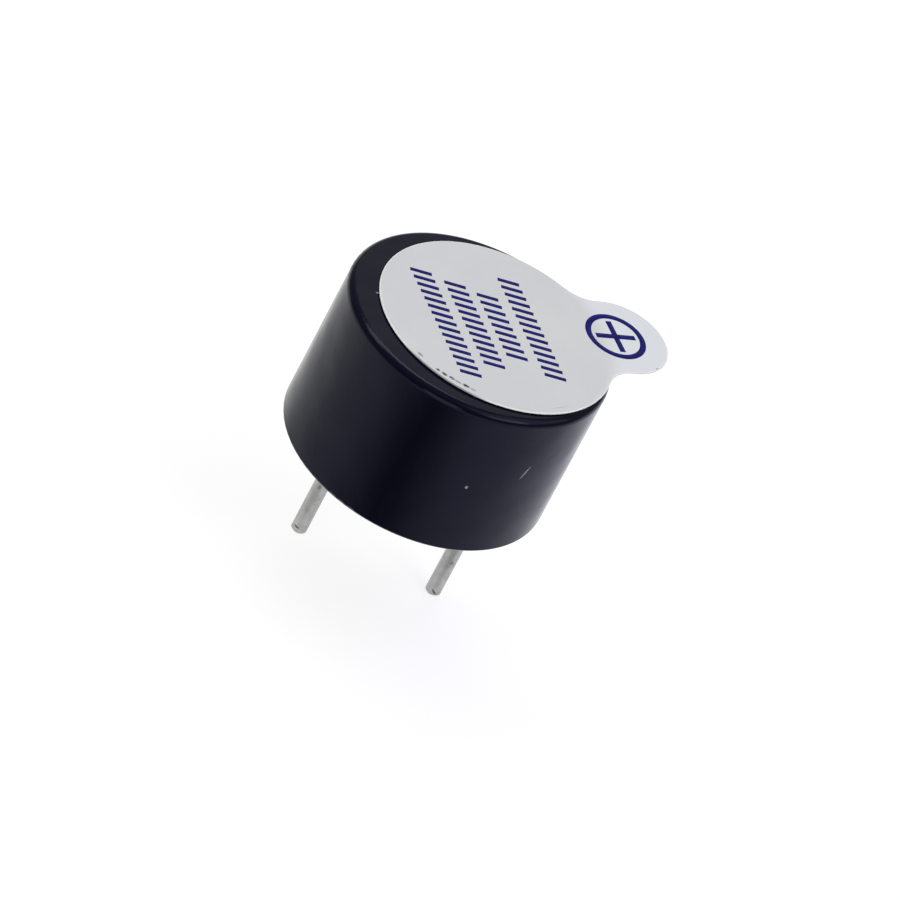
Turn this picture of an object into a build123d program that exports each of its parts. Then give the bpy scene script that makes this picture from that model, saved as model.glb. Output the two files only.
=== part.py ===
"""Active buzzer in a 12 mm moulded can, with two leads and its peel-off seal on.

Millimetres. The origin is the middle of the seating plane. +Z points out of the top, +X to the plus lead.
"""

import os
from math import cos, radians, sin, sqrt

from build123d import *

# Case
case_d = 12.0
wall_t = 0.8
roof_t = 0.9
top_edge_r = 0.35
foot_edge_r = 0.3
bore_mouth_c = 0.12
shoulder_w = 0.5
chamber_h = 1.35
sound_hole_d = 2.0

# Peel-off seal
label_r = 5.34
label_t = 0.12
label_shift = 0.65
label_slip = 0.08
label_turn = 3.4
tab_r = 2.25
tab_reach = 6.02
neck_r = 1.6

# Support ring and diaphragm
ring_fit = 0.05
ring_wall_t = 0.8
ledge_w = 0.45
lip_h = 0.3
diaphragm_fit = 0.05
diaphragm_t = 0.08
weight_d = 3.4
weight_t = 0.35

# Magnet circuit
yoke_fit = 0.05
yoke_t = 0.5
magnet_fit = 0.05
magnet_wall_share = 0.253
magnet_h = 1.6
magnet_c = 0.12
core_share = 0.253
core_h = 2.0
spigot_step = 0.4
air_gap = 0.25

# Coil
bobbin_fit = 0.1
core_fit = 0.02
bobbin_h = 1.8
bobbin_tube_t = 0.2
flange_t = 0.2
winding_inset = 0.2
lead_d = 0.14
lead_inset = 0.3
lead_gap = 0.1
lead_dot_w = 0.3
lead_dot_h = 0.26
lead_angles = (-40.0, -90.0, -140.0)
lead_sides = 8

# Board
board_fit = 0.05
board_t = 0.6

# Pins: a wire, thickened by its tin coat from the resin down
wire_d = 0.66
tin_t = 0.02
pin_inset = 1.4
pin_shift = 0.41
pin_plus_length = 7.35
pin_minus_length = 4.8
pin_tip_c = 0.1
pin_sink = 0.1
pin_hole_gap = 0.06
pin_dot_w = 0.4
pin_dot_h = 0.5

# Transistor
sot_l = 2.9
sot_w = 1.3
sot_h = 0.95
sot_standoff = 0.05
sot_draft = 7.0
sot_leg_w = 0.4
sot_leg_t = 0.13
sot_leg_reach = 1.2
sot_leg_knee = 0.16
sot_leg_root = 0.2
sot_pitch = 1.9
sot_place_share = 0.42

# Chip resistor
chip_l = 1.6
chip_w = 0.8
chip_h = 0.45
chip_cap_l = 0.3
chip_cap_t = 0.03
chip_gap = 1.0

# Potting resin
resin_recess = 0.35
resin_t = 1.25
resin_gap = 0.01
resin_wall_rise = 0.2
resin_wall_reach = 0.4
resin_pin_rise = 0.3
resin_pin_reach = 0.5

# Levels from the seating plane up
board_z = resin_recess + resin_t
yoke_z = board_z + board_t
magnet_z = yoke_z + yoke_t
core_top_z = magnet_z + core_h
ledge_z = core_top_z + air_gap
shoulder_z = ledge_z + lip_h
roof_z = shoulder_z + chamber_h
case_h = roof_z + roof_t

# Radii from the case wall in
case_r = case_d / 2
bore_r = case_r - wall_t
chamber_r = bore_r - shoulder_w
sound_hole_r = sound_hole_d / 2
ring_r = bore_r - ring_fit
ring_bore_r = ring_r - ring_wall_t
diaphragm_r = ring_bore_r + ledge_w
lip_bore_r = diaphragm_r + diaphragm_fit
board_r = bore_r - board_fit
yoke_r = ring_bore_r - yoke_fit
magnet_r = ring_bore_r - magnet_fit
magnet_bore_r = magnet_r - magnet_wall_share * ring_bore_r
flange_r = magnet_bore_r - bobbin_fit
core_r = core_share * ring_bore_r
spigot_r = core_r - spigot_step
bobbin_bore_r = core_r + core_fit
tube_r = bobbin_bore_r + bobbin_tube_t
winding_r = flange_r - winding_inset
winding_z = magnet_z + flange_t
winding_h = bobbin_h - flange_t - flange_t
lead_r = lead_d / 2
lead_reach = winding_r - lead_inset
lead_hole_r = lead_r + lead_gap
wire_r = wire_d / 2
pin_r = wire_r + tin_t
pin_half_pitch = bore_r - pin_inset
plus_x = pin_shift + pin_half_pitch
minus_x = pin_shift - pin_half_pitch
pin_hole_r = wire_r + pin_hole_gap
pin_top_z = yoke_z - pin_sink
tin_top_z = resin_recess - resin_pin_rise


def turned(*points):
    """A solid of revolution about Z from a closed outline of (radius, height) points."""
    outline = Polyline(*[(r, 0, z) for r, z in points], close=True)
    return revolve(make_face(outline.edges()), Axis.Z)


def ring_edges(shape, radius, height):
    """The circular edges of a turned solid at one radius and height."""
    tol = radius / 1000
    found = []
    for edge in shape.edges().filter_by(GeomType.CIRCLE):
        if abs(edge.radius - radius) < tol and abs(edge.arc_center.Z - height) < tol:
            found.append(edge)
    return found


def rod(radius, bottom, top):
    """A round bar on the Z axis between two heights."""
    return Pos(0, 0, bottom) * extrude(Circle(radius), top - bottom)


def collar(bore, reach, rise, level):
    """A collar of resin or solder round a wire, wide at level and drawn out to nothing at rise below it."""
    return turned((bore, level), (bore + reach, level), (bore, level - rise))


# Case: one turned cup with the front chamber, the ring's shoulder and the sound hole
case = turned(
    (bore_r, 0),
    (case_r, 0),
    (case_r, case_h),
    (sound_hole_r, case_h),
    (sound_hole_r, roof_z),
    (chamber_r, roof_z),
    (chamber_r, shoulder_z),
    (bore_r, shoulder_z),
)
case = fillet(ring_edges(case, case_r, case_h), top_edge_r)
case = fillet(ring_edges(case, case_r, 0), foot_edge_r)
case = chamfer(ring_edges(case, bore_r, 0), bore_mouth_c)

# Peel-off seal: a disc and a tab lobe, with the necks between them hollowed to a tangent arc
neck_x = ((label_r + neck_r) ** 2 - (tab_r + neck_r) ** 2 + tab_reach**2) / (2 * tab_reach)
neck_y = sqrt((label_r + neck_r) ** 2 - neck_x**2)
seal = Circle(label_r) + Pos(tab_reach, 0) * Circle(tab_r)
for side in (neck_y, -neck_y):
    web = make_face(Polyline((0, 0), (neck_x, side), (tab_reach, 0), close=True).edges())
    seal += web - Pos(neck_x, side) * Circle(neck_r)
seal_label = Pos(label_shift, -label_slip, case_h) * (Rot(0, 0, label_turn) * extrude(seal, label_t))

# Support ring with the diaphragm's ledge, and what lies on it
support_ring = turned(
    (ring_bore_r, yoke_z),
    (ring_r, yoke_z),
    (ring_r, shoulder_z),
    (lip_bore_r, shoulder_z),
    (lip_bore_r, ledge_z),
    (ring_bore_r, ledge_z),
)
diaphragm = rod(diaphragm_r, ledge_z, ledge_z + diaphragm_t)
weight_z = ledge_z + diaphragm_t
diaphragm_weight = rod(weight_d / 2, weight_z, weight_z + weight_t)

# Places of the winding's ends
lead_places = [(lead_reach * cos(radians(a)), lead_reach * sin(radians(a))) for a in lead_angles]
lead_bore = extrude(RegularPolygon(lead_hole_r, lead_sides), case_h)
lead_bores = [Pos(x, y, 0) * lead_bore for x, y in lead_places]

# Yoke, core and magnet
yoke_plate = rod(yoke_r, yoke_z, magnet_z) - rod(spigot_r, 0, case_h)
for bore in lead_bores:
    yoke_plate -= bore
pole_core = rod(core_r, magnet_z, core_top_z) + rod(spigot_r, yoke_z, magnet_z)
ring_magnet = turned(
    (magnet_bore_r, magnet_z),
    (magnet_r, magnet_z),
    (magnet_r, magnet_z + magnet_h),
    (magnet_bore_r, magnet_z + magnet_h),
)
ring_magnet = chamfer(ring_edges(ring_magnet, magnet_r, magnet_z + magnet_h), magnet_c)

# Bobbin, winding and its three ends
bobbin_top_z = magnet_z + bobbin_h
coil_bobbin = turned(
    (bobbin_bore_r, magnet_z),
    (flange_r, magnet_z),
    (flange_r, winding_z),
    (tube_r, winding_z),
    (tube_r, winding_z + winding_h),
    (flange_r, winding_z + winding_h),
    (flange_r, bobbin_top_z),
    (bobbin_bore_r, bobbin_top_z),
)
slot_l = flange_r - lead_reach + lead_hole_r
for angle in lead_angles:
    slot = Pos(flange_r, 0) * Rectangle(2 * slot_l, 2 * lead_hole_r)
    coil_bobbin -= Rot(0, 0, angle) * Pos(0, 0, magnet_z) * extrude(slot, flange_t)
coil_winding = turned(
    (tube_r, winding_z),
    (winding_r, winding_z),
    (winding_r, winding_z + winding_h),
    (tube_r, winding_z + winding_h),
)
coil_leads = [Pos(x, y, 0) * rod(lead_r, board_z, winding_z) for x, y in lead_places]

# Board with its holes
circuit_board = rod(board_r, board_z, yoke_z)
for x in (plus_x, minus_x):
    circuit_board -= Pos(x, 0, 0) * rod(pin_hole_r, 0, case_h)
for bore in lead_bores:
    circuit_board -= bore

# Pins, tinned below the resin and bevelled at the tip
pins = []
for x, length in ((plus_x, pin_plus_length), (minus_x, pin_minus_length)):
    pin = rod(pin_r, -length, tin_top_z) + rod(wire_r, tin_top_z, pin_top_z)
    pin = chamfer(ring_edges(pin, pin_r, -length), pin_tip_c)
    pins.append(Pos(x, 0, 0) * pin)
positive_pin, negative_pin = pins

# Solder: a collar on each pin, and a dot that closes over each of the winding's ends
pin_solder = [Pos(x, 0, 0) * collar(wire_r, pin_dot_w, pin_dot_h, board_z) for x in (plus_x, minus_x)]
lead_dot_foot = Pos(0, 0, board_z) * RegularPolygon(lead_r + lead_dot_w, lead_sides)
lead_dot_tip = Pos(0, 0, board_z - lead_dot_h) * RegularPolygon(lead_r, lead_sides)
lead_dot = loft([lead_dot_foot, lead_dot_tip])
coil_lead_solder = [Pos(x, y, 0) * lead_dot for x, y in lead_places]

# Transistor: a drafted body and three bent legs, hung under the board
sot_mid = sot_standoff + sot_h / 2
body_up = extrude(Rectangle(sot_l, sot_w), sot_h / 2, taper=sot_draft)
body = Pos(0, 0, sot_mid) * (body_up + mirror(body_up, Plane.XY))
knee_y = sot_w / 2 + sot_leg_knee
root_y = sot_w / 2 - sot_leg_root
leg_outline = Polyline(
    (0, root_y, sot_mid + sot_leg_t / 2),
    (0, knee_y, sot_mid + sot_leg_t / 2),
    (0, knee_y, sot_leg_t),
    (0, sot_leg_reach, sot_leg_t),
    (0, sot_leg_reach, 0),
    (0, knee_y - sot_leg_t, 0),
    (0, knee_y - sot_leg_t, sot_mid - sot_leg_t / 2),
    (0, root_y, sot_mid - sot_leg_t / 2),
    close=True,
)
leg = extrude(make_face(leg_outline.edges()), sot_leg_w / 2, both=True)
sot = body + leg
for x in (sot_pitch / 2, -sot_pitch / 2):
    sot += Pos(x, 0, 0) * (Rot(0, 0, 180) * leg)
driver_transistor = Pos(0, sot_place_share * board_r, board_z) * (Rot(180, 0, 0) * sot)

# Chip resistor: a ceramic block with two metal end caps, hung under the board
chip_core_l = chip_l - 2 * chip_cap_t
chip_core_w = chip_w - 2 * chip_cap_t
chip_core_h = chip_h - chip_cap_t
chip = Pos(0, 0, -chip_core_h / 2) * Box(chip_core_l, chip_core_w, chip_core_h)
for side in (1, -1):
    cap_x = side * (chip_l - chip_cap_l) / 2
    chip += Pos(cap_x, 0, -chip_h / 2) * Box(chip_cap_l, chip_w, chip_h)
chip_y = lead_reach - lead_r - lead_dot_w - chip_gap - chip_w / 2
base_resistor = Pos(0, -chip_y, board_z) * chip

# Potting resin: fills the can under the board, climbs a little at the wall and on both pins
resin_r = bore_r - resin_gap
potting_resin = turned(
    (0, board_z),
    (resin_r, board_z),
    (resin_r, resin_recess - resin_wall_rise),
    (resin_r - resin_wall_reach, resin_recess),
    (0, resin_recess),
)
for x in (plus_x, minus_x):
    potting_resin += Pos(x, 0, 0) * collar(wire_r, resin_pin_reach, resin_pin_rise, resin_recess)
for x in (plus_x, minus_x):
    potting_resin -= Pos(x, 0, 0) * rod(wire_r, 0, board_z)
for sunk in (*pin_solder, *coil_lead_solder, driver_transistor, base_resistor):
    potting_resin -= sunk

os.makedirs("parts", exist_ok=True)
nodes = {
    "case": case,
    "seal_label": seal_label,
    "diaphragm": diaphragm,
    "diaphragm_weight": diaphragm_weight,
    "support_ring": support_ring,
    "ring_magnet": ring_magnet,
    "coil_bobbin": coil_bobbin,
    "coil_winding": coil_winding,
    "coil_leads": Compound(children=coil_leads),
    "coil_lead_solder": Compound(children=coil_lead_solder),
    "pole_core": pole_core,
    "yoke_plate": yoke_plate,
    "circuit_board": circuit_board,
    "driver_transistor": driver_transistor,
    "base_resistor": base_resistor,
    "positive_pin": positive_pin,
    "negative_pin": negative_pin,
    "pin_solder": Compound(children=pin_solder),
    "potting_resin": potting_resin,
}
for name, shape in nodes.items():
    export_step(shape, f"parts/{name}.step")
    print(name, "solids", len(shape.solids()), "volume", round(shape.volume, 3))
print("case height", round(case_h, 3), "pin pitch", round(plus_x - minus_x, 3))
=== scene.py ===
# %% [markdown]
# # A sealed buzzer for a circuit board
#
# A glossy black can, 12 mm across, holds a coil, a magnet and a thin steel disc that the coil shakes.
# Two tinned pins leave the potted underside, and a pale film seal covers the sound hole, with a tab to
# peel it off by. The solids arrive at their real size. This lesson gives each of them its finish,
# remakes the seal with a soft cut edge, prints the seal, winds the coil, and lights it all on a small
# white table.

# %% Load the solids
import math

import bmesh
import bpy
from mathutils import Matrix, Vector


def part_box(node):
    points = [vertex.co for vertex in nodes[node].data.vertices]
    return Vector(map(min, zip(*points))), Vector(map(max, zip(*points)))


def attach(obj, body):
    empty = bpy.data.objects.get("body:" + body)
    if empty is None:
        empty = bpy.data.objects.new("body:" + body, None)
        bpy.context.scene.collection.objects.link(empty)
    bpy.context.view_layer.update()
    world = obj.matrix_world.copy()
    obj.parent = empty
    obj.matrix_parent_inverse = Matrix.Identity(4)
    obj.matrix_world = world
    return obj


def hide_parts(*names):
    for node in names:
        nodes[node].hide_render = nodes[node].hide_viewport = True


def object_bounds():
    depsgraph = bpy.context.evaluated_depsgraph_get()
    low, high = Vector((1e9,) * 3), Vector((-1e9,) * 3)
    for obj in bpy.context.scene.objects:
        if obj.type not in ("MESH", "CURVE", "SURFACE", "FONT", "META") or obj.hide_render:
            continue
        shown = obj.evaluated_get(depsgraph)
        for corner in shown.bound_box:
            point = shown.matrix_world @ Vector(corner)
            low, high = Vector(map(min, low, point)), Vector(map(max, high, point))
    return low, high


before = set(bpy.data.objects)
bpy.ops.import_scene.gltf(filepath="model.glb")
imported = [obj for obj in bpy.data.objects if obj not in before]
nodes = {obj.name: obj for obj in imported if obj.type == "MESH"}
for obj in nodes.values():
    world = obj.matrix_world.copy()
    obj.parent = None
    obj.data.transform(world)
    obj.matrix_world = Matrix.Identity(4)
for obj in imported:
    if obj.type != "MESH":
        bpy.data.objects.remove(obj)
cad_low, cad_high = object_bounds()
MM = 0.001
print(len(nodes), "solids, box in mm:", [round(painted_side / MM, 2) for painted_side in cad_high - cad_low])

# %% [markdown]
# ## The photographer's view
#
# The camera stands well back with a long lens, so the rim of the can is nearly a true ellipse. It looks
# down at about 34 degrees and is held askew, which is why the can seems to tip over. A camera could be
# aimed by hand, but here its place is worked out from those angles, so each of them can be changed by
# itself.

# %% Directions of the view
VIEW_TURN = math.radians(-34.5)
VIEW_DROP = math.radians(34.34)
VIEW_ROLL = math.radians(28.2)


def heading(turn, rise):
    """The direction that points at a turn round the can and a rise above the table, in radians."""
    across = math.cos(rise)
    return Vector((math.sin(turn) * across, -math.cos(turn) * across, math.sin(rise)))


backward = heading(VIEW_TURN, VIEW_DROP)
level = Vector((math.cos(VIEW_TURN), math.sin(VIEW_TURN), 0))
upright = backward.cross(level)
right = level * math.cos(VIEW_ROLL) + upright * math.sin(VIEW_ROLL)
up = upright * math.cos(VIEW_ROLL) - level * math.sin(VIEW_ROLL)
print("from the can to the camera:", [round(part, 3) for part in backward])

# %% Camera
VIEW_AWAY = 540 * MM
FRAME_WIDTH = 38.03 * MM
FRAME_RIGHT = 1.591 * MM
FRAME_UP = 0.244 * MM

lens = bpy.data.cameras.new("long_lens")
lens.sensor_width = 36
lens.lens = lens.sensor_width * VIEW_AWAY / FRAME_WIDTH
lens.clip_start = 10 * MM
lens.clip_end = 5
camera = bpy.data.objects.new("camera", lens)
axes = Matrix((right, up, backward)).transposed().to_4x4()
stand = right * FRAME_RIGHT + up * FRAME_UP + backward * VIEW_AWAY
camera.matrix_world = Matrix.Translation(stand) @ axes
bpy.context.scene.collection.objects.link(camera)
bpy.context.scene.camera = camera
print("camera", round(VIEW_AWAY / MM), "mm away with a", round(lens.lens), "mm lens")

# %% [markdown]
# ## Tools for the finishes
#
# Every finish below is a small tree of nodes that reads the solid's own coordinates, so a pattern stays
# on its piece from every side. Painted images could do the same, but they would have to be unwrapped and
# carried along. One function turns a written colour into linear light, one turns a real size in
# millimetres into a pattern's scale, and one adds a node with its settings and links.

# %% Colours and scales
def colour(code):
    """An sRGB hex colour as linear red, green, blue and alpha."""
    values = [int(code[i:i + 2], 16) / 255 for i in (1, 3, 5)]
    return (*[v / 12.92 if v <= 0.04045 else ((v + 0.055) / 1.055) ** 2.4 for v in values], 1)


def scale_of(size_mm):
    """The texture scale at which one cell of a pattern measures size_mm."""
    return 1 / (size_mm * MM)


print("a pattern of 1 mm has the scale", round(scale_of(1)))


# %% Nodes and finishes
def feed(tree, node, inputs):
    """Sets a node's inputs. Each is a value, a socket, or a node whose first output in use is linked."""
    for key, value in inputs.items():
        named = [s for s in node.inputs if s.enabled and key in (s.identifier, s.name)]
        socket = node.inputs[key] if isinstance(key, int) else named[0]
        if isinstance(value, bpy.types.Node):
            value = next(s for s in value.outputs if s.enabled)
        if isinstance(value, bpy.types.NodeSocket):
            tree.links.new(value, socket)
        else:
            socket.default_value = value


def add(tree, kind, inputs=None, **settings):
    """Adds a node with its settings and its inputs."""
    node = tree.nodes.new(kind)
    for name, value in settings.items():
        setattr(node, name, value)
    feed(tree, node, inputs or {})
    return node


def start_finish(name, sockets):
    """A new material with its constant sockets set: the material, its tree, shader and coordinates."""
    material = bpy.data.materials.new(name)
    material.use_nodes = True
    tree = material.node_tree
    shader = tree.nodes["Principled BSDF"]
    feed(tree, shader, sockets)
    place = add(tree, "ShaderNodeTexCoord").outputs["Object"]
    return material, tree, shader, place


def dress(material, *names):
    """Gives solids their finish through their own material slots."""
    for name in names:
        nodes[name].material_slots[0].material = material
    print(material.name, "on", ", ".join(names))


print("finishes to give:", len({node.material_slots[0].name for node in nodes.values()}))

# %% [markdown]
# ## The black can
#
# The can is moulded in a glossy black plastic with a cold, bluish depth. A polished mould gives clear
# but dim reflections, so the shader's specular level is low. The polish isn't perfect: it has slow
# waves, a faint orange peel and fine upright rubs that dull it here and there. This can also carries a
# pale fleck and a short scratch on its near side, and a crumb of film by the seal. A painted image could
# hold such marks, but an ellipsoid in the can's own space needs no image.
#
# The solid's round upper edge is only a few flat strips wide, and they would notch a lamp's reflection
# along the rim. A can with more strips would help, but the can is round, so the way it faces at any point
# follows from its sizes, and the shader works it out. Where the foot's rounding starts, it keeps the way
# the wall faces, which makes the foot look crisp.

# %% Marks on a surface
case_low, case_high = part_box("case")
CASE_R = (case_high[0] - case_low[0]) / 2


def spot(tree, place, centre, half_sizes, turn=(0, 0, 0)):
    """A mask that is 1 inside a small turned ellipsoid and fades to 0 at its edge."""
    local = add(tree, "ShaderNodeMapping", {
        "Vector": place, "Location": centre, "Rotation": turn, "Scale": half_sizes,
    }, vector_type="TEXTURE")
    reach = add(tree, "ShaderNodeVectorMath", {0: local}, operation="LENGTH").outputs["Value"]
    return add(tree, "ShaderNodeMapRange", {"Value": reach, "From Min": 1, "From Max": 0.5})


def on_wall(angle, height):
    """A point on the outside of the can, by its angle in radians and its height."""
    return (CASE_R * math.cos(angle), CASE_R * math.sin(angle), height)


print("can", round(2 * CASE_R / MM, 2), "mm across")

# %% Glossy black moulded plastic: a deep blue-black with soft-edged, dim reflections
WAVE_MM = 2.6
PEEL_MM = 0.8
# The real grain and rubs are finer. They are drawn this coarse so that they show.
GRAIN_MM = 0.25
RUB_MM = 0.2
RUB_STRETCH = 0.02

black, tree, shader, place = start_finish("glossy black moulded plastic", {
    "IOR": 1.5, "Specular IOR Level": 0.165, "Specular Tint": colour("#D8DCFF"),
})
waves = add(tree, "ShaderNodeTexNoise", {"Vector": place, "Scale": scale_of(WAVE_MM), "Detail": 1})
peel = add(tree, "ShaderNodeTexNoise", {"Vector": place, "Scale": scale_of(PEEL_MM), "Detail": 2})
grain = add(tree, "ShaderNodeTexNoise", {"Vector": place, "Scale": scale_of(GRAIN_MM), "Detail": 2})
drawn = add(tree, "ShaderNodeMapping", {"Vector": place, "Scale": (1, 1, RUB_STRETCH)})
rubs = add(tree, "ShaderNodeTexNoise", {"Vector": drawn, "Scale": scale_of(RUB_MM), "Detail": 4})
gloss = add(tree, "ShaderNodeMapRange", {
    "Value": rubs, "From Min": 0.35, "From Max": 0.7, "To Min": 0.13, "To Max": 0.175,
})
print("waves of", WAVE_MM, "mm, peel of", PEEL_MM, "mm, rubs", RUB_MM, "mm wide")

# %% A fleck, a scratch and a crumb of film: pale spots that lie on the black
FLECK_ANGLE = math.radians(-98.5)
SCRATCH_ANGLE = math.radians(-75.7)
SCRATCH_LEAN = math.radians(-19.5)
CRUMB_ANGLE = math.radians(165.4)
CRUMB_AT = (-4.56 * MM, 1.28 * MM, case_high[2])
# Each mark: its middle, its half sizes in mm, and its turn.
MARKS = [
    (on_wall(FLECK_ANGLE, 3.58 * MM), (0.08, 0.07, 0.1), (0, 0, 0)),
    (on_wall(SCRATCH_ANGLE, 4.65 * MM), (0.06, 0.042, 0.46), (SCRATCH_LEAN, 0, SCRATCH_ANGLE)),
    (CRUMB_AT, (0.1, 0.05, 0.05), (0, 0, CRUMB_ANGLE)),
]

marks = 0
for middle, half_mm, turn in MARKS:
    mark = spot(tree, place, middle, [half * MM for half in half_mm], turn)
    marks = add(tree, "ShaderNodeMath", {0: marks, 1: mark}, operation="MAXIMUM")
tint = add(tree, "ShaderNodeMix", {
    "Factor": marks, "A": colour("#0B0C1B"), "B": colour("#A4A6AA"),
}, data_type="RGBA")
print(len(MARKS), "pale marks on the can")

# %% The way the round skin of the can faces
EDGE_R = 0.35 * MM
# From this share of the edge's radius outwards, a point lies on the skin and not inside the can.
SKIN_SHARE = 0.9
# Inside the can, this keeps the direction from having no length at all.
NEVER_NONE = 0.001

flat = add(tree, "ShaderNodeVectorMath", {0: place, 1: (1, 1, 0)}, operation="MULTIPLY")
reach = add(tree, "ShaderNodeVectorMath", {0: flat}, operation="LENGTH").outputs["Value"]
past = add(tree, "ShaderNodeMapRange", {
    "Value": reach, "From Min": CASE_R - EDGE_R, "From Max": CASE_R,
})
outward = add(tree, "ShaderNodeVectorMath", {0: flat}, operation="NORMALIZE")
sideways = add(tree, "ShaderNodeVectorMath", {0: outward, "Scale": past}, operation="SCALE")
rise = add(tree, "ShaderNodeSeparateXYZ", {"Vector": place}).outputs["Z"]
above = add(tree, "ShaderNodeMapRange", {
    "Value": rise, "From Min": case_high[2] - EDGE_R, "From Max": case_high[2], "To Min": NEVER_NONE,
})
upward = add(tree, "ShaderNodeCombineXYZ", {"Z": above})
lean = add(tree, "ShaderNodeVectorMath", {0: sideways, 1: upward}, operation="ADD")
length = add(tree, "ShaderNodeVectorMath", {0: lean}, operation="LENGTH").outputs["Value"]
skin = add(tree, "ShaderNodeMath", {0: length, 1: SKIN_SHARE}, operation="GREATER_THAN")
rounded = add(tree, "ShaderNodeVectorTransform", {
    "Vector": lean,
}, vector_type="NORMAL", convert_from="OBJECT", convert_to="WORLD")
own = add(tree, "ShaderNodeNewGeometry").outputs["Normal"]
facing = add(tree, "ShaderNodeMix", {"Factor": skin, "A": own, "B": rounded}, data_type="VECTOR")
print("upper edge rounded by", round(EDGE_R / MM, 2), "mm")

# %% Relief of the polish
# Each layer: its pattern, how strongly it shows, and its depth in mm.
POLISH = [(waves, 0.6, 0.13), (peel, 0.5, 0.01), (grain, 0.5, 0.006)]

relief = facing
for pattern, strength, deep_mm in POLISH:
    relief = add(tree, "ShaderNodeBump", {
        "Height": pattern, "Strength": strength, "Distance": deep_mm * MM, "Normal": relief,
    })
feed(tree, shader, {"Base Color": tint, "Roughness": gloss, "Normal": relief})
dress(black, "case")

# %% [markdown]
# ## The film seal
#
# The seal is die-cut from white film. The cutting die rolls its edge over, so seen from near, the edge is
# a thin bright line along a greyer face. That line is partly painted highlight, as the edge is coloured
# paler than the face, and painted shade greys the part of it turned from the light. Under it is a dark
# line, because the glue stops short of the edge and the film lifts a little there. The film lets some
# light through, so the tab, which has no black plastic under it, is paler than the rest, and this is
# painted light in the film's colour. The solid's own edge is sharp. A bevel in the shader could soften it,
# but it wouldn't show in the outline, so the seal is remade: a copy of the solid with its doubled points
# merged, its flat faces joined, its upper edge rounded and its lower edge lifted. The face is lowered by
# the thickness of the ink printed on it next, so the print ends level with the solid.

# %% Where the seal lies
INK_T = 0.004 * MM
TAB_TURN = math.radians(3.4)
seal_low, seal_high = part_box("seal_label")
SEAL_R = (seal_high[1] - seal_low[1]) / 2
seal_top = seal_high[2] - INK_T
seal_middle = (seal_low[0] + SEAL_R, (seal_low[1] + seal_high[1]) / 2, seal_top)
seal_place = Matrix.Translation(seal_middle) @ Matrix.Rotation(TAB_TURN, 4, "Z")


def on_seal(reach, angle):
    """A point on the seal's face, by its reach from the middle and its angle in radians."""
    return seal_place @ Vector((reach * math.cos(angle), reach * math.sin(angle), 0))


print("seal", round(2 * SEAL_R / MM, 2), "mm across without its tab")

# %% Satin white film: even and pale, a little cloudy, and painted paler where no black lies under it
CLOUD_MM = 3
RIM_BLUR = 0.35 * MM

film, tree, shader, place = start_finish("satin white film", {"IOR": 1.5, "Specular IOR Level": 0.3})
cloud = add(tree, "ShaderNodeTexNoise", {"Vector": place, "Scale": scale_of(CLOUD_MM), "Detail": 4})
tint = add(tree, "ShaderNodeMix", {
    "Factor": cloud, "A": colour("#CCCAD2"), "B": colour("#D3D7D5"),
}, data_type="RGBA")
flat = add(tree, "ShaderNodeVectorMath", {0: place, 1: (1, 1, 0)}, operation="MULTIPLY")
reach = add(tree, "ShaderNodeVectorMath", {0: flat}, operation="LENGTH").outputs["Value"]
# Painted light: the film is painted paler where it hangs over air, standing in for light shining through
# it.
painted_light_over_air = add(tree, "ShaderNodeMapRange", {
    "Value": reach, "From Min": CASE_R - RIM_BLUR, "From Max": CASE_R + RIM_BLUR, "To Max": 0.9,
})
tint = add(tree, "ShaderNodeMix", {
    "Factor": painted_light_over_air, "A": tint, "B": colour("#DCE0E6"),
}, data_type="RGBA")
print("film paler from", round((CASE_R - RIM_BLUR) / MM, 2), "mm out")

# %% Grime caught along the near edge of the film, in dark ragged spots, and the painted shade of a faint crease
RAGGED_MM = 0.1
SPOT_HIGH = 0.1 * MM
# Each spot: reach from the seal's middle in mm, angle in degrees, half depth and width in mm, strength.
GRIME_AND_CREASE_SHADE = [
    (5.08, -154.4, 0.11, 0.2, 0.5), (5.1, -142.8, 0.09, 0.12, 0.9), (5.08, -139.2, 0.1, 0.18, 1),
    (5.03, -135.2, 0.1, 0.17, 1), (5.03, -131.7, 0.07, 0.2, 0.7), (5.0, -127.5, 0.11, 0.2, 1),
    # The long thin spot at -76 degrees is painted shade along a faint crease in the film, not grime.
    (5.02, -123.7, 0.08, 0.18, 0.45), (5.0, -76, 0.03, 0.7, 0.2), (7.41, -14.9, 0.1, 0.1, 0.8),
]

ragged = add(tree, "ShaderNodeTexNoise", {"Vector": place, "Scale": scale_of(RAGGED_MM), "Detail": 2})
for reach_mm, angle_deg, deep_mm, wide_mm, strength in GRIME_AND_CREASE_SHADE:
    angle = math.radians(angle_deg)
    half_sizes = (deep_mm * MM, wide_mm * MM, SPOT_HIGH)
    grime_and_shade = spot(tree, place, on_seal(reach_mm * MM, angle), half_sizes, (0, 0, angle + TAB_TURN))
    broken = add(tree, "ShaderNodeMapRange", {
        "Value": ragged, "From Min": 0.25, "From Max": 0.45, "To Max": strength,
    })
    grime_and_shade = add(tree, "ShaderNodeMath", {0: grime_and_shade, 1: broken}, operation="MULTIPLY")
    tint = add(tree, "ShaderNodeMix", {
        "Factor": grime_and_shade, "A": tint, "B": colour("#1E1E24"),
    }, data_type="RGBA")
print(len(GRIME_AND_CREASE_SHADE), "spots of grime")

# %% Sheen of the film
# The real grit is finer. It is drawn this coarse so that it shows.
GRIT_MM = 0.12

grit = add(tree, "ShaderNodeTexNoise", {"Vector": place, "Scale": scale_of(GRIT_MM), "Detail": 3})
sheen = add(tree, "ShaderNodeMapRange", {"Value": grit, "To Min": 0.38, "To Max": 0.55})
relief = add(tree, "ShaderNodeBump", {"Height": cloud, "Strength": 0.3, "Distance": 0.02 * MM})
feed(tree, shader, {"Base Color": tint, "Roughness": sheen, "Normal": relief})
dress(film, "seal_label")

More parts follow.
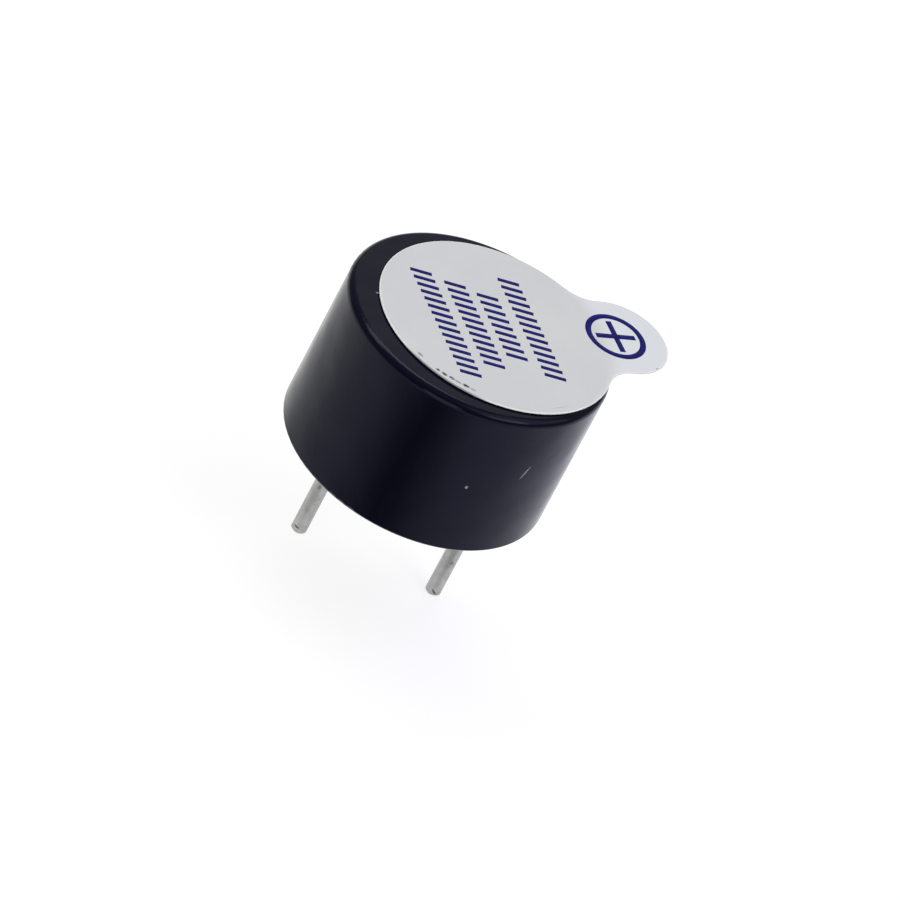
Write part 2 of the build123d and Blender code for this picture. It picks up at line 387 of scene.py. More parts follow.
# %% Cut edge of the film: painted paler than its face, partly as a highlight, and greyed by painted shade where it turns from the light
EDGE_GRIT_MM = 0.15
SHADED_EDGE_ANGLE = math.radians(-139)
SHADED_EDGE_HALF = (1 * MM, 2.6 * MM, 1 * MM)

edge, tree, shader, place = start_finish("cut edge of white film", {"Specular IOR Level": 0.3})
grit = add(tree, "ShaderNodeTexNoise", {"Vector": place, "Scale": scale_of(EDGE_GRIT_MM), "Detail": 3})
# The edge's pale colour is partly a painted highlight for the bright line it shows.
tint = add(tree, "ShaderNodeMix", {
    "Factor": grit, "A": colour("#ECECEE"), "B": colour("#F8F8F8"),
}, data_type="RGBA")
# Painted shade: the stretch of the cut edge turned from the light is painted grey.
painted_edge_shade = spot(tree, place, on_seal(SEAL_R, SHADED_EDGE_ANGLE), SHADED_EDGE_HALF, (0, 0, SHADED_EDGE_ANGLE + TAB_TURN))
tint = add(tree, "ShaderNodeMix", {
    "Factor": painted_edge_shade, "A": tint, "B": colour("#9C9CA2"),
}, data_type="RGBA")
feed(tree, shader, {"Base Color": tint, "Roughness": 0.5})
print(edge.name, "dulled near", round(math.degrees(SHADED_EDGE_ANGLE)), "degrees")

# %% A copy of the seal, welded, with its lower edge lifted
FACE = 0
EDGE = 1
SAME = 0.001 * MM
NEARLY_FLAT = math.radians(1)
# A face whose direction points up or down by more than this counts as lying flat.
LYING = 0.5
LIFT = 0.06 * MM
LIFT_REACH = 0.3 * MM

shape = bmesh.new()
shape.from_mesh(nodes["seal_label"].data)
bmesh.ops.remove_doubles(shape, verts=shape.verts, dist=SAME)
bmesh.ops.dissolve_limit(shape, angle_limit=NEARLY_FLAT, verts=shape.verts, edges=shape.edges)
for point in shape.verts:
    if point.co.z > seal_top:
        point.co.z = seal_top
for face in shape.faces:
    face.material_index = FACE if abs(face.normal.z) > LYING else EDGE
glued = [face for face in shape.faces if face.normal.z < -LYING]
bmesh.ops.inset_region(shape, faces=glued, thickness=LIFT_REACH, use_even_offset=True)
for point in shape.verts:
    at_edge = any(face.material_index == EDGE for face in point.link_faces)
    if at_edge and point.co.z < seal_low[2] + SAME:
        point.co.z += LIFT
print("seal welded to", len(shape.verts), "points")


# %% The seal's rolled upper edge
def new_piece(name, mesh, slot, *replaced):
    """Links a finished mesh as a piece that rides with the buzzer."""
    piece = bpy.data.objects.new(name, mesh)
    bpy.context.scene.collection.objects.link(piece)
    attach(piece, "root")
    if replaced:
        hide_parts(*replaced)
    print(name, "has", len(mesh.polygons), "faces")
    return piece


ROLL_R = 0.045 * MM
ROLL_STEPS = 4
upper = [line for line in shape.edges if all(p.co.z > seal_top - SAME for p in line.verts)]
bmesh.ops.bevel(
    shape, geom=upper, offset=ROLL_R, offset_type="OFFSET", segments=ROLL_STEPS, profile=0.5,
    affect="EDGES", material=EDGE, clamp_overlap=True,
)
for face in shape.faces:
    face.smooth = face.material_index == EDGE
seal_mesh = bpy.data.meshes.new("seal_film")
shape.to_mesh(seal_mesh)
shape.free()
seal_mesh.materials.append(film)
seal_mesh.materials.append(edge)
new_piece("seal_film", seal_mesh, "seal_film", "seal_label")

# %% [markdown]
# ## The print on the seal
#
# The seal is printed in one dark blue ink. The tab carries the polarity mark, a plus in a ring, over the
# plus pin. The face carries four rows of plain slanted strokes. Each row is a straight line, and Geometry
# Nodes set a stroke at every step along it, which is easier to change than strokes drawn one by one.
# Everything is drawn as lines, and one flat profile swept along them gives the ink its width and thickness.

# %% Blue screen ink: dense, matt, and a little thinner in patches
COVER_MM = 0.5
INK_GRIT_MM = 0.1

ink, tree, shader, place = start_finish("dark blue screen ink", {"Specular IOR Level": 0.1})
cover = add(tree, "ShaderNodeTexNoise", {"Vector": place, "Scale": scale_of(COVER_MM), "Detail": 3})
tint = add(tree, "ShaderNodeMix", {
    "Factor": cover, "A": colour("#0D0956"), "B": colour("#201B78"),
}, data_type="RGBA")
grit = add(tree, "ShaderNodeTexNoise", {"Vector": place, "Scale": scale_of(INK_GRIT_MM), "Detail": 2})
matt = add(tree, "ShaderNodeMapRange", {"Value": grit, "To Min": 0.45, "To Max": 0.65})
feed(tree, shader, {"Base Color": tint, "Roughness": matt})
print(ink.name, "lies", round(INK_T / MM, 3), "mm thick")


# %% Helpers for Geometry Nodes
def new_rule(name, sizes):
    """A geometry tree with named inputs for its sizes: the tree and its input node's sockets."""
    tree = bpy.data.node_groups.new(name, "GeometryNodeTree")
    tree.interface.new_socket("Geometry", in_out="INPUT", socket_type="NodeSocketGeometry")
    for size in sizes:
        tree.interface.new_socket(size, in_out="INPUT", socket_type="NodeSocketFloat")
    tree.interface.new_socket("Geometry", in_out="OUTPUT", socket_type="NodeSocketGeometry")
    print(name, "has the sizes", ", ".join(sizes))
    return tree, add(tree, "NodeGroupInput").outputs


def made_by(tree, last, sizes, base, material):
    """Ends a tree in real mesh with its material, runs it on a base mesh and returns the plain result."""
    real = add(tree, "GeometryNodeRealizeInstances", {0: last})
    painted = add(tree, "GeometryNodeSetMaterial", {"Geometry": real, "Material": material})
    add(tree, "NodeGroupOutput", {0: painted})
    maker = bpy.data.objects.new(tree.name, base)
    bpy.context.scene.collection.objects.link(maker)
    modifier = maker.modifiers.new(tree.name, "NODES")
    modifier.node_group = tree
    for item in tree.interface.items_tree:
        if item.in_out == "INPUT" and item.name in sizes:
            modifier[item.identifier] = sizes[item.name]
    evaluated = maker.evaluated_get(bpy.context.evaluated_depsgraph_get())
    mesh = bpy.data.meshes.new_from_object(evaluated)
    bpy.data.objects.remove(maker)
    mesh.materials.clear()
    mesh.materials.append(material)
    mesh.polygons.foreach_set("material_index", [0] * len(mesh.polygons))
    return mesh


# %% Sizes of the print
ROW_PLACES = [along * MM for along in (1.7, 0.25, -1.1, -2.5)]
ROW_LENGTHS = [length * MM for length in (5.9, 3.7, 4.95, 6.3)]
print_sizes = {
    "Stroke step": 0.45 * MM,
    "Stroke height": 0.95 * MM,
    "Stroke lean": 0.14 * MM,
    "Stroke width": 0.21 * MM,
    "Mark width": 0.275 * MM,
    "Ink thickness": 2 * INK_T,
    "Mark place": 5.83 * MM,
    "Ring radius": 1.262 * MM,
    "Arm length": 0.96 * MM,
}
tree, size = new_rule("seal_print", print_sizes)

# %% A stroke at every step along a row
half_up = add(tree, "ShaderNodeMath", {0: size["Stroke height"], 1: 0.5}, operation="MULTIPLY")
top = add(tree, "ShaderNodeCombineXYZ", {"X": size["Stroke lean"], "Y": half_up})
foot = add(tree, "ShaderNodeVectorMath", {0: top, 1: (-1, -1, -1)}, operation="MULTIPLY")
stroke = add(tree, "GeometryNodeCurvePrimitiveLine", {"Start": foot, "End": top})
rows = add(tree, "GeometryNodeMeshToCurve", {"Mesh": size["Geometry"]})
steps = add(tree, "GeometryNodeCurveToPoints", {
    "Curve": rows, "Length": size["Stroke step"],
}, mode="LENGTH")
ahead = add(tree, "FunctionNodeAlignRotationToVector", {"Vector": steps.outputs["Tangent"]}, axis="X")
strokes = add(tree, "GeometryNodeInstanceOnPoints", {
    "Points": steps.outputs["Points"], "Instance": stroke, "Rotation": ahead,
})
strokes = add(tree, "GeometryNodeRealizeInstances", {0: strokes})
print(len(ROW_PLACES), "rows of strokes")

# %% The mark on the tab
RING_STEPS = 96
half_line = add(tree, "ShaderNodeMath", {0: size["Mark width"], 1: 0.5}, operation="MULTIPLY")
# One long arm runs across. Two short ones start at its sides, so that no ink lies on ink.
ARMS = [
    ((1, 0, 0), (-1, 0, 0), size["Arm length"]),
    ((0, 1, 0), (0, 1, 0), half_line),
    ((0, -1, 0), (0, -1, 0), half_line),
]

ring = add(tree, "GeometryNodeCurvePrimitiveCircle", {
    "Resolution": RING_STEPS, "Radius": size["Ring radius"],
})
mark = add(tree, "GeometryNodeJoinGeometry", {"Geometry": ring})
for tip_way, start_way, start_reach in ARMS:
    tip = add(tree, "ShaderNodeVectorMath", {0: tip_way, "Scale": size["Arm length"]}, operation="SCALE")
    start = add(tree, "ShaderNodeVectorMath", {0: start_way, "Scale": start_reach}, operation="SCALE")
    arm = add(tree, "GeometryNodeCurvePrimitiveLine", {"Start": start, "End": tip})
    feed(tree, mark, {"Geometry": arm})
on_tab = add(tree, "ShaderNodeCombineXYZ", {"X": size["Mark place"]})
mark = add(tree, "GeometryNodeTransform", {"Geometry": mark, "Translation": on_tab})
print("a ring and", len(ARMS), "arms on the tab")

# %% Ink along every line
inked = add(tree, "GeometryNodeJoinGeometry")
for lines, width in ((mark, size["Mark width"]), (strokes, size["Stroke width"])):
    flat = add(tree, "GeometryNodeSetCurveNormal", {"Curve": lines}, mode="Z_UP")
    profile = add(tree, "GeometryNodeCurvePrimitiveQuadrilateral", {
        "Width": width, "Height": size["Ink thickness"],
    })
    ribbon = add(tree, "GeometryNodeCurveToMesh", {
        "Curve": flat, "Profile Curve": profile, "Fill Caps": True,
    })
    feed(tree, inked, {"Geometry": ribbon})

ends = []
for along, length in zip(ROW_PLACES, ROW_LENGTHS):
    ends += [(along, length / 2, 0), (along, -length / 2, 0)]
row_lines = bpy.data.meshes.new("row_lines")
row_lines.from_pydata(ends, [(i, i + 1) for i in range(0, len(ends), 2)], [])
print_mesh = made_by(tree, inked, print_sizes, row_lines, ink)
print_mesh.transform(seal_place)
new_piece("seal_print", print_mesh, "seal_film")

# %% [markdown]
# ## The pins
#
# The pins are copper wire with a dull coat of tin. Drawing the wire leaves faint lines along it, dipping
# it leaves the coat uneven, and cutting it leaves small dark nicks near the tip. The lines could be
# grooves in the mesh, but the real ones are far finer than a pixel, so a pattern of coarser streaks stands
# for them.

# %% Tinned wire: grey and silky, streaked along its length
# The real drawing lines are far finer. They are drawn this coarse so that they show.
LINE_MM = 0.12
LINE_STRETCH = 0.12
MOTTLE_MM = 0.3
PIN_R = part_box("positive_pin")[1][1]


def on_pin(name, angle_deg, height):
    """A point on the outside of a pin."""
    low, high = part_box(name)
    angle = math.radians(angle_deg)
    return ((low[0] + high[0]) / 2 + PIN_R * math.cos(angle), PIN_R * math.sin(angle), height)


tin, tree, shader, place = start_finish("tinned copper wire", {"Metallic": 1})
drawn = add(tree, "ShaderNodeMapping", {"Vector": place, "Scale": (1, 1, LINE_STRETCH)})
lines = add(tree, "ShaderNodeTexNoise", {"Vector": drawn, "Scale": scale_of(LINE_MM), "Detail": 4})
tint = add(tree, "ShaderNodeMix", {
    "Factor": lines, "A": colour("#9A9A99"), "B": colour("#C2C2C0"),
}, data_type="RGBA")
mottle = add(tree, "ShaderNodeTexNoise", {"Vector": place, "Scale": scale_of(MOTTLE_MM), "Detail": 3})
uneven = add(tree, "ShaderNodeMapRange", {
    "Value": mottle, "From Min": 0.4, "From Max": 0.7, "To Max": 0.4,
})
tint = add(tree, "ShaderNodeMix", {
    "Factor": uneven, "A": tint, "B": colour("#858582"),
}, data_type="RGBA")
print("wire", round(2 * PIN_R / MM, 2), "mm thick")

# %% Painted shade down the near side of each pin, and dark cut tips
SIDE_HALF = 0.2 * MM
TIP_HIGH = 0.2 * MM
# Each painted dark streak: the pin, its angle in degrees, and how dark it is.
PAINTED_SHADE_SIDES = [("negative_pin", -135, 0.6), ("positive_pin", -118, 0.9)]

# The dark streak down each pin's near side is painted shade: it stands in for the dark that the tin mirrors
# down its middle.
for name, angle_deg, strength in PAINTED_SHADE_SIDES:
    low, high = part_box(name)
    half_long = -low[2] / 2
    painted_side = spot(tree, place, on_pin(name, angle_deg, -half_long), (SIDE_HALF, SIDE_HALF, half_long))
    broken = add(tree, "ShaderNodeMapRange", {"Value": lines, "To Max": strength})
    painted_side = add(tree, "ShaderNodeMath", {0: painted_side, 1: broken}, operation="MULTIPLY")
    tint = add(tree, "ShaderNodeMix", {
        "Factor": painted_side, "A": tint, "B": colour("#555552"),
    }, data_type="RGBA")
    tip = ((low[0] + high[0]) / 2, 0, low[2])
    cut = spot(tree, place, tip, (2 * PIN_R, 2 * PIN_R, TIP_HIGH))
    cut = add(tree, "ShaderNodeMath", {0: cut, 1: uneven}, operation="MULTIPLY")
    tint = add(tree, "ShaderNodeMix", {
        "Factor": cut, "A": tint, "B": colour("#3C3C3A"),
    }, data_type="RGBA")
    print(name, "ends", round(-low[2] / MM, 2), "mm below the seat")

# %% Nicks in the tin
# Each nick: the pin, angle in degrees, height in mm, half sizes in mm, tilt in degrees, strength.
NICKS = [
    ("negative_pin", -143, -4.47, (0.1, 0.19, 0.06), -8, 0.85),
    ("negative_pin", -128, -2.13, (0.1, 0.1, 0.17), 0, 0.45),
    ("positive_pin", -94, -5.36, (0.1, 0.1, 0.12), 0, 0.5),
    ("positive_pin", -112, -7.1, (0.1, 0.22, 0.06), -40, 0.85),
]

for name, angle_deg, height_mm, half_mm, tilt_deg, strength in NICKS:
    half_sizes = [half * MM for half in half_mm]
    turn = (math.radians(tilt_deg), 0, math.radians(angle_deg))
    nick = spot(tree, place, on_pin(name, angle_deg, height_mm * MM), half_sizes, turn)
    nick = add(tree, "ShaderNodeMath", {0: nick, 1: strength}, operation="MULTIPLY")
    tint = add(tree, "ShaderNodeMix", {
        "Factor": nick, "A": tint, "B": colour("#3C3C3A"),
    }, data_type="RGBA")
silk = add(tree, "ShaderNodeMapRange", {"Value": lines, "To Min": 0.25, "To Max": 0.45})
relief = add(tree, "ShaderNodeBump", {"Height": lines, "Strength": 0.4, "Distance": 0.01 * MM})
feed(tree, shader, {"Base Color": tint, "Roughness": silk, "Normal": relief})
dress(tin, "positive_pin", "negative_pin")

# %% [markdown]
# ## The potted underside
#
# Black casting resin closes the can from below. It was poured wet, so it climbs at the wall and up the
# pins, as the solid does, and sets with a gloss, a slow ripple and a few tiny bubbles. The bubbles could
# be cut into the mesh, but they are so small that pressed-in cells of a pattern do.

# %% Casting resin: wet-looking black with slow ripples
RIPPLE_MM = 2.2
BUBBLE_STEP_MM = 1.1

resin, tree, shader, place = start_finish("black casting resin", {"IOR": 1.55, "Specular IOR Level": 0.4})
ripple = add(tree, "ShaderNodeTexNoise", {"Vector": place, "Scale": scale_of(RIPPLE_MM), "Detail": 2})
bubbles = add(tree, "ShaderNodeTexVoronoi", {"Vector": place, "Scale": scale_of(BUBBLE_STEP_MM)})
pock = add(tree, "ShaderNodeMapRange", {"Value": bubbles, "From Min": 0.04, "From Max": 0.1})
height = add(tree, "ShaderNodeMath", {0: ripple, 1: pock}, operation="MULTIPLY")
relief = add(tree, "ShaderNodeBump", {"Height": height, "Strength": 0.6, "Distance": 0.05 * MM})
tint = add(tree, "ShaderNodeMix", {
    "Factor": ripple, "A": colour("#0B0B0D"), "B": colour("#161618"),
}, data_type="RGBA")
gloss = add(tree, "ShaderNodeMapRange", {"Value": ripple, "To Min": 0.12, "To Max": 0.3})
feed(tree, shader, {"Base Color": tint, "Roughness": gloss, "Normal": relief})
dress(resin, "potting_resin")

# %% [markdown]
# ## The coil
#
# Inside, a fine enamelled wire is wound on the bobbin in layers. Only the outer layer could ever be seen,
# so Geometry Nodes stack one ring of wire on another, a wire's thickness apart, round a plain sleeve that
# stands for the layers below. A true helix would differ by less than the wire's own thickness. The real
# wire is finer still, and is drawn this thick so that its turns show.

# %% Enamelled copper: a warm metal under a thin clear coat
ENAMEL_MM = 0.3

copper, tree, shader, place = start_finish("enamelled copper wire", {"Metallic": 1, "Coat Weight": 0.4})
grain = add(tree, "ShaderNodeTexNoise", {"Vector": place, "Scale": scale_of(ENAMEL_MM), "Detail": 3})
tint = add(tree, "ShaderNodeMix", {
    "Factor": grain, "A": colour("#A9552A"), "B": colour("#C87640"),
}, data_type="RGBA")
silk = add(tree, "ShaderNodeMapRange", {"Value": grain, "To Min": 0.2, "To Max": 0.35})
feed(tree, shader, {"Base Color": tint, "Roughness": silk})
dress(copper, "coil_leads", "coil_winding")

# %% Sizes of the winding
TURNS = 16
coil_low, coil_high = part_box("coil_winding")
coil_points = nodes["coil_winding"].data.vertices
coil_bore = min(math.hypot(point.co.x, point.co.y) for point in coil_points)
coil_sizes = {
    "Outer radius": coil_high[0],
    "Bore radius": coil_bore,
    "Height": coil_high[2] - coil_low[2],
    "Wire": (coil_high[2] - coil_low[2]) / TURNS,
}
tree, size = new_rule("coil_turns", coil_sizes)

# %% Turns of wire, one on another
WIRE_SIDES = 8
TURN_STEPS = 80

wire_r = add(tree, "ShaderNodeMath", {0: size["Wire"], 1: 0.5}, operation="MULTIPLY")
turn_r = add(tree, "ShaderNodeMath", {0: size["Outer radius"], 1: wire_r}, operation="SUBTRACT")
round_wire = add(tree, "GeometryNodeCurvePrimitiveCircle", {"Resolution": WIRE_SIDES, "Radius": wire_r})
path = add(tree, "GeometryNodeCurvePrimitiveCircle", {"Resolution": TURN_STEPS, "Radius": turn_r})
turn = add(tree, "GeometryNodeCurveToMesh", {"Curve": path, "Profile Curve": round_wire})
count = add(tree, "ShaderNodeMath", {0: size["Height"], 1: size["Wire"]}, operation="DIVIDE")
first = add(tree, "ShaderNodeCombineXYZ", {"Z": wire_r})
pitch = add(tree, "ShaderNodeCombineXYZ", {"Z": size["Wire"]})
levels = add(tree, "GeometryNodeMeshLine", {"Count": count, "Start Location": first, "Offset": pitch})
turns = add(tree, "GeometryNodeInstanceOnPoints", {"Points": levels, "Instance": turn})
print(TURNS, "turns of wire,", round(coil_sizes["Wire"] / MM, 3), "mm thick")

# %% A sleeve for the layers below
both = add(tree, "ShaderNodeMath", {0: turn_r, 1: size["Bore radius"]}, operation="ADD")
middle = add(tree, "ShaderNodeMath", {0: both, 1: 0.5}, operation="MULTIPLY")
depth = add(tree, "ShaderNodeMath", {0: turn_r, 1: size["Bore radius"]}, operation="SUBTRACT")
section = add(tree, "GeometryNodeCurvePrimitiveQuadrilateral", {
    "Width": depth, "Height": size["Height"],
})
core = add(tree, "GeometryNodeCurvePrimitiveCircle", {"Resolution": TURN_STEPS, "Radius": middle})
sleeve = add(tree, "GeometryNodeCurveToMesh", {"Curve": core, "Profile Curve": section})
half = add(tree, "ShaderNodeMath", {0: size["Height"], 1: 0.5}, operation="MULTIPLY")
lift = add(tree, "ShaderNodeCombineXYZ", {"Z": half})
sleeve = add(tree, "GeometryNodeTransform", {"Geometry": sleeve, "Translation": lift})
coil = add(tree, "GeometryNodeJoinGeometry", {"Geometry": sleeve})
feed(tree, coil, {"Geometry": turns})
coil_mesh = made_by(tree, coil, coil_sizes, bpy.data.meshes.new("coil_start"), copper)
coil_mesh.transform(Matrix.Translation((0, 0, coil_low[2])))
new_piece("coil_turns", coil_mesh, "enamelled_copper", "coil_winding")

# %% [markdown]
# ## The works inside
#
# The rest is closed in by the can, but a library part may be opened up, so each piece gets the finish of
# its own trade: rolled steel, plated iron, pressed ferrite, moulded nylon, woven laminate and small chips.
# Each could have a detailed finish like the can's, but they keep the solids' shapes, and only a few nodes
# each tell them apart. Rolling lines, grains and threads are drawn coarser than they are, so that they
# show.

# %% Rolled spring steel: bright, with straight rolling lines
ROLLING_MM = 0.08
ROLLING_STRETCH = 0.03

steel, tree, shader, place = start_finish("rolled spring steel", {"Metallic": 1})
rolled = add(tree, "ShaderNodeMapping", {"Vector": place, "Scale": (1, ROLLING_STRETCH, 1)})
lines = add(tree, "ShaderNodeTexNoise", {"Vector": rolled, "Scale": scale_of(ROLLING_MM), "Detail": 4})
tint = add(tree, "ShaderNodeMix", {
    "Factor": lines, "A": colour("#B4B7BA"), "B": colour("#CBCDCF"),
}, data_type="RGBA")
silk = add(tree, "ShaderNodeMapRange", {"Value": lines, "To Min": 0.2, "To Max": 0.4})
feed(tree, shader, {"Base Color": tint, "Roughness": silk})
dress(steel, "diaphragm")

# %% Zinc-plated soft iron: grey crystals of slightly different brightness
CRYSTAL_MM = 0.4

iron, tree, shader, place = start_finish("zinc-plated soft iron", {"Metallic": 1})
crystals = add(tree, "ShaderNodeTexVoronoi", {"Vector": place, "Scale": scale_of(CRYSTAL_MM)})
crystal = add(tree, "ShaderNodeSeparateColor", {"Color": crystals.outputs["Color"]})
tint = add(tree, "ShaderNodeMix", {
    "Factor": crystal, "A": colour("#A3A6A9"), "B": colour("#B9BCBF"),
}, data_type="RGBA")
silk = add(tree, "ShaderNodeMapRange", {"Value": crystal, "To Min": 0.32, "To Max": 0.48})
feed(tree, shader, {"Base Color": tint, "Roughness": silk})
dress(iron, "diaphragm_weight", "pole_core", "yoke_plate")

# %% Matt grey moulding: a spark-eroded mould leaves a fine even grain
MOULD_GRAIN_MM = 0.1

grey, tree, shader, place = start_finish("matt grey moulded plastic", {"IOR": 1.5})
grain = add(tree, "ShaderNodeTexNoise", {
    "Vector": place, "Scale": scale_of(MOULD_GRAIN_MM), "Detail": 3,
})
tint = add(tree, "ShaderNodeMix", {
    "Factor": grain, "A": colour("#4A4A4B"), "B": colour("#565657"),
}, data_type="RGBA")
matt = add(tree, "ShaderNodeMapRange", {"Value": grain, "To Min": 0.5, "To Max": 0.7})
relief = add(tree, "ShaderNodeBump", {"Height": grain, "Strength": 0.5, "Distance": 0.01 * MM})
feed(tree, shader, {"Base Color": tint, "Roughness": matt, "Normal": relief})
dress(grey, "support_ring")

# %% Sintered ferrite: a charcoal stone of pressed grains
STONE_GRAIN_MM = 0.12

ferrite, tree, shader, place = start_finish("sintered ferrite", {"Specular IOR Level": 0.5})
grains = add(tree, "ShaderNodeTexVoronoi", {"Vector": place, "Scale": scale_of(STONE_GRAIN_MM)})
tint = add(tree, "ShaderNodeMix", {
    "Factor": grains, "A": colour("#666668"), "B": colour("#4E4E50"),
}, data_type="RGBA")
matt = add(tree, "ShaderNodeMapRange", {"Value": grains, "To Min": 0.45, "To Max": 0.75})
relief = add(tree, "ShaderNodeBump", {"Height": grains, "Strength": 0.4, "Distance": 0.02 * MM})
feed(tree, shader, {"Base Color": tint, "Roughness": matt, "Normal": relief})
dress(ferrite, "ring_magnet")

# %% Natural nylon: milky and a little cloudy
MILK_MM = 0.8

nylon, tree, shader, place = start_finish("natural nylon", {"IOR": 1.53})
cloud = add(tree, "ShaderNodeTexNoise", {"Vector": place, "Scale": scale_of(MILK_MM), "Detail": 3})
tint = add(tree, "ShaderNodeMix", {
    "Factor": cloud, "A": colour("#DAD6C8"), "B": colour("#E8E5DA"),
}, data_type="RGBA")
matt = add(tree, "ShaderNodeMapRange", {"Value": cloud, "To Min": 0.35, "To Max": 0.5})
feed(tree, shader, {"Base Color": tint, "Roughness": matt})
dress(nylon, "coil_bobbin")

# %% Solder: silvery, frosted in patches where it froze first
FROST_MM = 0.25

solder, tree, shader, place = start_finish("tin solder", {"Metallic": 1})
frost = add(tree, "ShaderNodeTexNoise", {"Vector": place, "Scale": scale_of(FROST_MM), "Detail": 3})
tint = add(tree, "ShaderNodeMix", {
    "Factor": frost, "A": colour("#C2C3C4"), "B": colour("#D6D6D5"),
}, data_type="RGBA")
silk = add(tree, "ShaderNodeMapRange", {
    "Value": frost, "From Min": 0.3, "From Max": 0.7, "To Min": 0.15, "To Max": 0.45,
})
feed(tree, shader, {"Base Color": tint, "Roughness": silk})
dress(solder, "pin_solder", "coil_lead_solder")

# %% Resin-bonded laminate: straw yellow, with the weave of its cloth showing through
THREAD_MM = 0.35
# At a scale of 1, one band of Blender's wave texture is this wide.
WAVE_BAND = math.tau / 20

laminate, tree, shader, place = start_finish("resin-bonded laminate", {"IOR": 1.5})
weave = 1
for direction in "XY":
    thread = add(tree, "ShaderNodeTexWave", {
        "Vector": place, "Scale": scale_of(THREAD_MM) * WAVE_BAND, "Distortion": 0.4,
    }, bands_direction=direction)
    weave = add(tree, "ShaderNodeMath", {0: weave, 1: thread}, operation="MULTIPLY")
tint = add(tree, "ShaderNodeMix", {
    "Factor": weave, "A": colour("#AFA674"), "B": colour("#C1B98A"),
}, data_type="RGBA")
matt = add(tree, "ShaderNodeMapRange", {"Value": weave, "To Min": 0.5, "To Max": 0.35})
feed(tree, shader, {"Base Color": tint, "Roughness": matt})
dress(laminate, "circuit_board")

# %% Chips: an epoxy block with tinned legs, and a ceramic block with metal ends
BLOCK_GRAIN_MM = 0.08
# Each chip: its solid, its finish, the axis of its ends, the half length of its block in mm, two
# colours.
CHIPS = [
    ("driver_transistor", "black epoxy with tinned legs", "Y", 0.66, "#2A2A2B", "#353536"),
    ("base_resistor", "dark ceramic with metal ends", "X", 0.5, "#55565C", "#5F6066"),
]


def beyond(tree, place, name, axis, bare_mm):
    """A mask that is 1 on both ends of a piece, further than bare_mm from its middle along an axis."""
    low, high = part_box(name)
    middle = [(a + b) / 2 for a, b in zip(low, high)]
    local = add(tree, "ShaderNodeVectorMath", {0: place, 1: middle}, operation="SUBTRACT")
    reach = add(tree, "ShaderNodeSeparateXYZ", {"Vector": local}).outputs[axis]
    reach = add(tree, "ShaderNodeMath", {0: reach}, operation="ABSOLUTE")
    return add(tree, "ShaderNodeMath", {0: reach, 1: bare_mm * MM}, operation="GREATER_THAN")


for name, title, axis, bare_mm, dark, pale in CHIPS:
    chip, tree, shader, place = start_finish(title, {"IOR": 1.5})
    grain = add(tree, "ShaderNodeTexNoise", {
        "Vector": place, "Scale": scale_of(BLOCK_GRAIN_MM), "Detail": 3,
    })
    block = add(tree, "ShaderNodeMix", {
        "Factor": grain, "A": colour(dark), "B": colour(pale),
    }, data_type="RGBA")
    metal = beyond(tree, place, name, axis, bare_mm)
    tint = add(tree, "ShaderNodeMix", {
        "Factor": metal, "A": block, "B": colour("#CFCFCC"),
    }, data_type="RGBA")
    matt = add(tree, "ShaderNodeMapRange", {"Value": grain, "To Min": 0.4, "To Max": 0.6})
    feed(tree, shader, {"Base Color": tint, "Metallic": metal, "Roughness": matt})
    dress(chip, name)

# %% [markdown]
# ## The table
#
# The buzzer stands on white paper. Paper under lamps is never quite white in a picture. More light would
# bleach the seal too, so a little glow is added where the eye or a reflection sees the paper, and the
# buzzer's own soft shadow still shows. Daylight makes the paper cooler on the right, which the can
# mirrors. Seen from below the paper is clear, so the underside can be looked at.

# %% White paper: matt and even, with the shadow on it
PAPER_R = 600 * MM
PAPER_STEPS = 96
FIBRE_MM = 4

bpy.ops.mesh.primitive_circle_add(
    vertices=PAPER_STEPS, radius=PAPER_R, fill_type="NGON", location=(0, 0, cad_low[2]),
)
table = bpy.context.object
table.name = "white_table"
paper, tree, shader, place = start_finish("white table paper", {
    "Roughness": 0.9, "Specular IOR Level": 0.1,
})
fibre = add(tree, "ShaderNodeTexNoise", {"Vector": place, "Scale": scale_of(FIBRE_MM), "Detail": 3})
tint = add(tree, "ShaderNodeMix", {
    "Factor": fibre, "A": colour("#959595"), "B": colour("#999999"),
}, data_type="RGBA")
feed(tree, shader, {"Base Color": tint})
table.data.materials.append(paper)
print("table at", round(cad_low[2] / MM, 2), "mm")

# %% The paper's glow, cooler on the right
GLOW = 0.92
COOL_REACH_MM = 20

rays = add(tree, "ShaderNodeLightPath").outputs
seen = rays["Is Camera Ray"]
for ray in ("Is Glossy Ray", "Is Transmission Ray"):
    seen = add(tree, "ShaderNodeMath", {0: seen, 1: rays[ray]}, operation="MAXIMUM")
glow = add(tree, "ShaderNodeMath", {0: seen, 1: GLOW}, operation="MULTIPLY")
along = add(tree, "ShaderNodeMapping", {
    "Vector": place, "Rotation": (0, 0, VIEW_TURN),
}, vector_type="TEXTURE")
along = add(tree, "ShaderNodeSeparateXYZ", {"Vector": along}).outputs["X"]
cool = add(tree, "ShaderNodeMapRange", {"Value": along, "From Max": COOL_REACH_MM * MM})
light = add(tree, "ShaderNodeMix", {
    "Factor": cool, "A": colour("#ECECEC"), "B": colour("#ECECFF"),
}, data_type="RGBA")
glow = add(tree, "ShaderNodeEmission", {"Color": light, "Strength": glow})
lit = add(tree, "ShaderNodeAddShader", {0: shader, 1: glow})
under = add(tree, "ShaderNodeNewGeometry").outputs["Backfacing"]
clear = add(tree, "ShaderNodeBsdfTransparent")
sided = add(tree, "ShaderNodeMixShader", {"Fac": under, 1: lit, 2: clear})
feed(tree, tree.nodes["Material Output"], {"Surface": sided})
print("paper glows at", GLOW)

